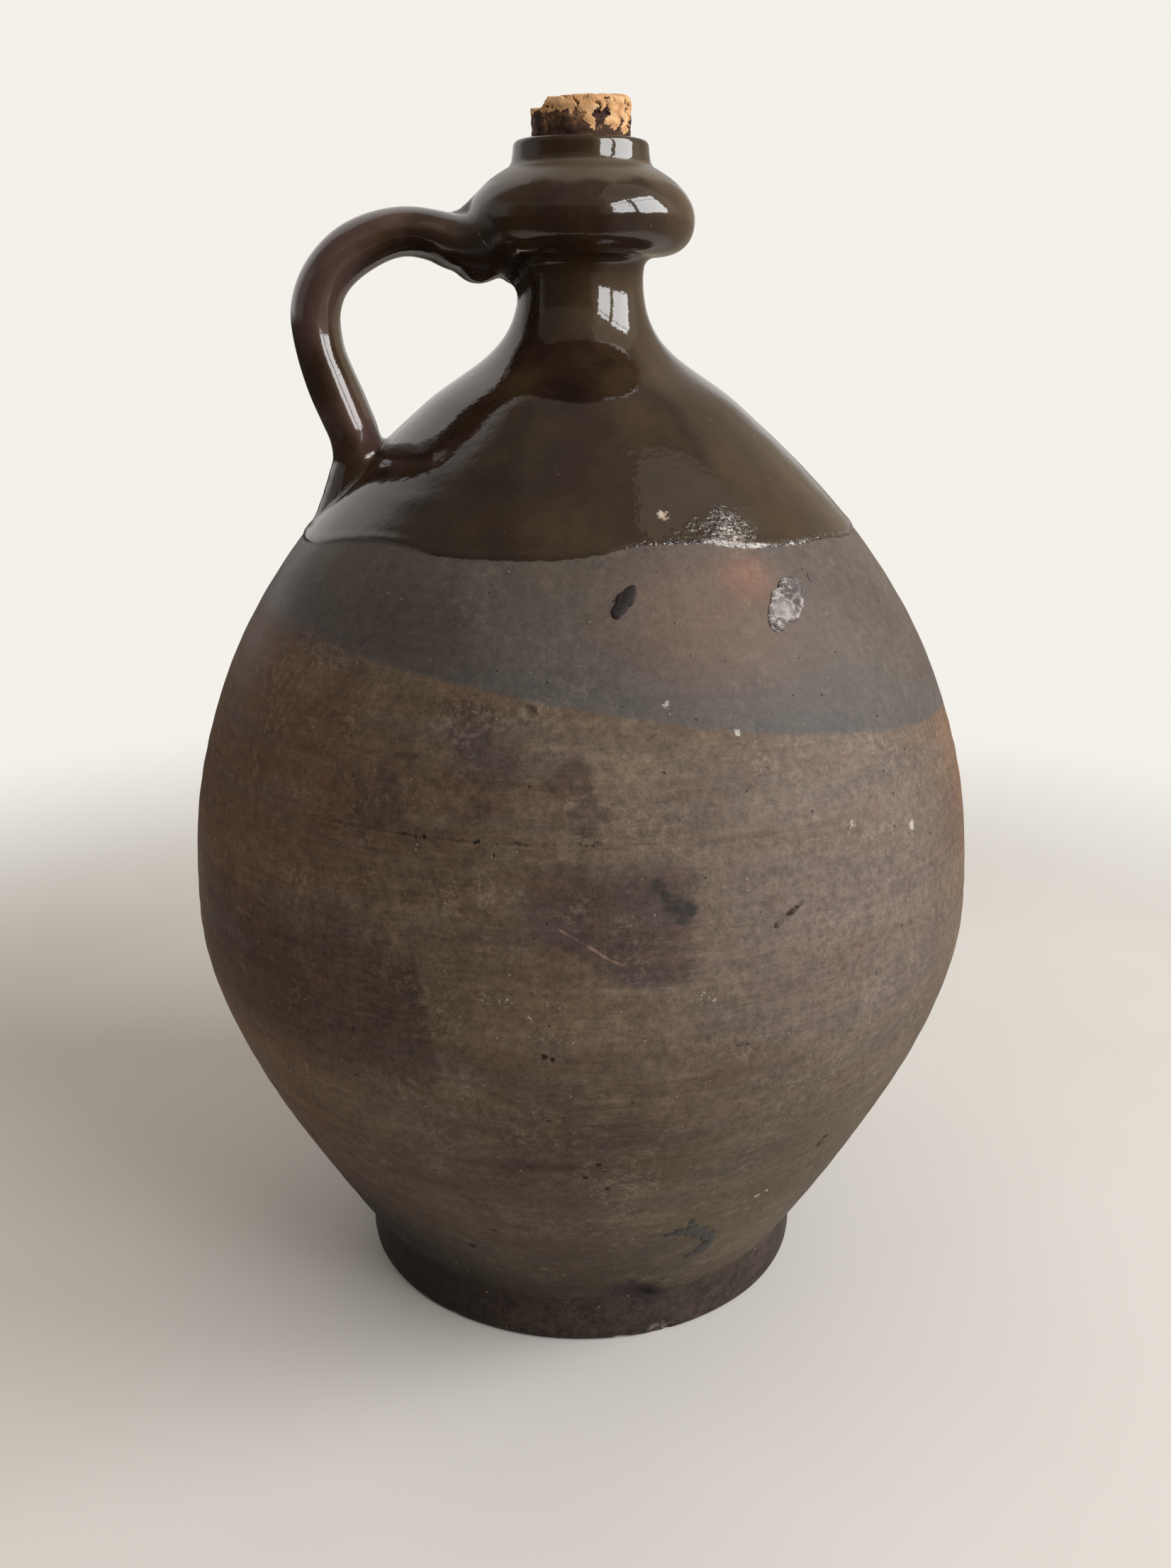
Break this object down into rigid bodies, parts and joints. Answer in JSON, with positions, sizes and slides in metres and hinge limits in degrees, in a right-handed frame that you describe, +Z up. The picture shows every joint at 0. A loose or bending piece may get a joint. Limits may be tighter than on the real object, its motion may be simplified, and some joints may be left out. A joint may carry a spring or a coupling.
{
  "type": "one-handled stoneware jug with cork",
  "caption": "Tall round-bellied stoneware jug, brown-glazed from lip to shoulder and bare below, with a loop handle at the neck, a bulging collar and a cork that pulls out.",
  "frame": {"origin": "centre of the foot ring's underside, on the jug's axis", "axes": "+Z up along the jug's axis, handle on the -X side, -Y towards the viewer"},
  "size_m": [0.3224, 0.3224, 0.4758],
  "materials": {
    "bare_stoneware": "unglazed grey-brown stoneware, dull, with turning lines",
    "brown_glaze": "glossy dark olive-brown glaze",
    "cork": "dry natural cork with dark pits"
  },
  "bodies": {
    "jug": {"foot_ring": "bare_stoneware", "lower_body": "bare_stoneware", "upper_body": "brown_glaze", "neck": "brown_glaze", "collar": "brown_glaze", "lip_ring": "brown_glaze", "handle": "brown_glaze", "handle_wad": "brown_glaze"},
    "cork": {"cork_stopper": "cork"}
  },
  "joints": [
    {"name": "cork_pull", "type": "slide", "parent": "jug", "child": "cork", "axis": [0, 0, 1], "range_m": [0, 0.045]}
  ]
}
